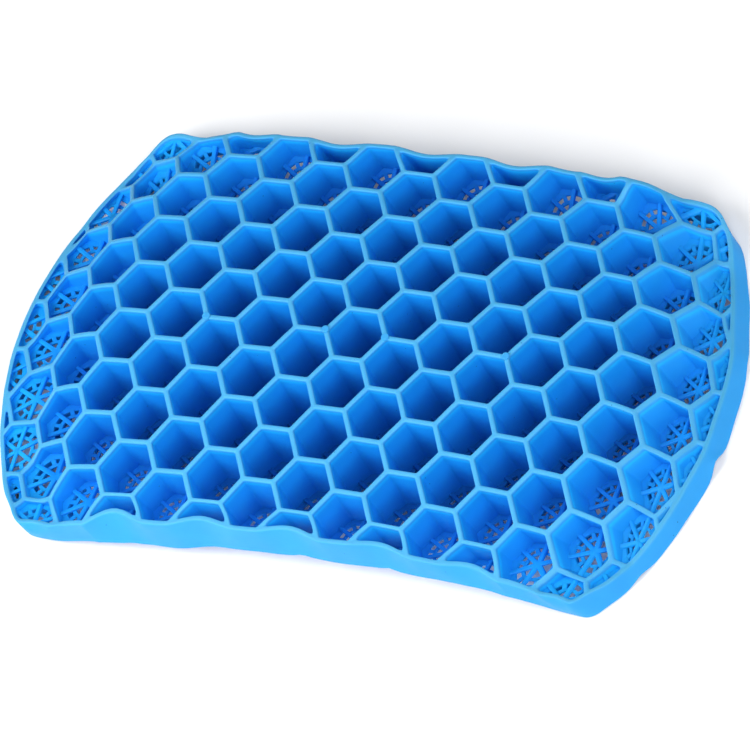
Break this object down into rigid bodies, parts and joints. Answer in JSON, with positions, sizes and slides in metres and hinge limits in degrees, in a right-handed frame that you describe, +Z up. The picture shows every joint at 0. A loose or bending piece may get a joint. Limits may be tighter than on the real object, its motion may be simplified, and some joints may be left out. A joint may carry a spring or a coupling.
{
  "type": "seat cushion",
  "caption": "Soft one-piece gel seat cushion: open honeycomb cells with star-shaped webs near the base, crowned top, sloped rounded ends and a plain outer wall.",
  "frame": {"origin": "centre of the resting face, under the middle of the cushion", "axes": "+X to the right along the long side, +Y from the front edge to the back edge, +Z up out of the crowned top"},
  "size_m": [0.42, 0.245, 0.0465],
  "materials": {
    "elastomer": "satin, slightly translucent moulded elastomer"
  },
  "bodies": {
    "root": {"upper_cells": "elastomer", "lower_cells": "elastomer", "ring_web": "elastomer", "star_web": "elastomer", "front_wall": "elastomer", "back_wall": "elastomer", "left_end_wall": "elastomer", "right_end_wall": "elastomer", "gate_nubs": "elastomer"}
  },
  "joints": []
}
